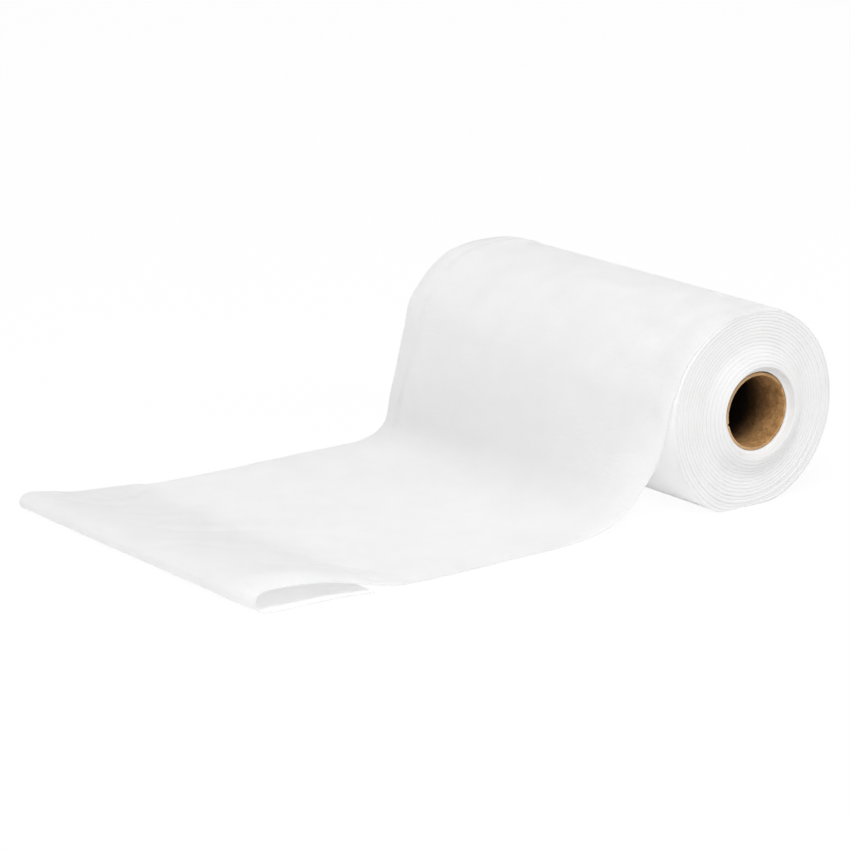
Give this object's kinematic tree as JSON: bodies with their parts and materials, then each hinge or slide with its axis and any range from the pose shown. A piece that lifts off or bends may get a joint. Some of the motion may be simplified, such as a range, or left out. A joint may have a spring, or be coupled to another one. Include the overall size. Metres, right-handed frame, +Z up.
{
  "type": "paper towel roll",
  "caption": "Soft white paper roll wound on a cardboard tube, lying on its side, with a long free tail folded under at its end",
  "frame": {"origin": "the middle of the tube's bore, half way along the tube", "axes": "+Y runs along the bore, away from the end that the picture shows; +Z is up from the ground; +X points away from the tail, so the tail runs to -X"},
  "size_m": [0.3697, 0.2311, 0.1061],
  "materials": {
    "cardboard_tube": "plain grey-brown board, spirally wound, matt",
    "soft_paper": "soft white creped paper, matt, unprinted"
  },
  "bodies": {
    "root": {"core": "cardboard_tube", "paper_web": "soft_paper"}
  },
  "joints": []
}
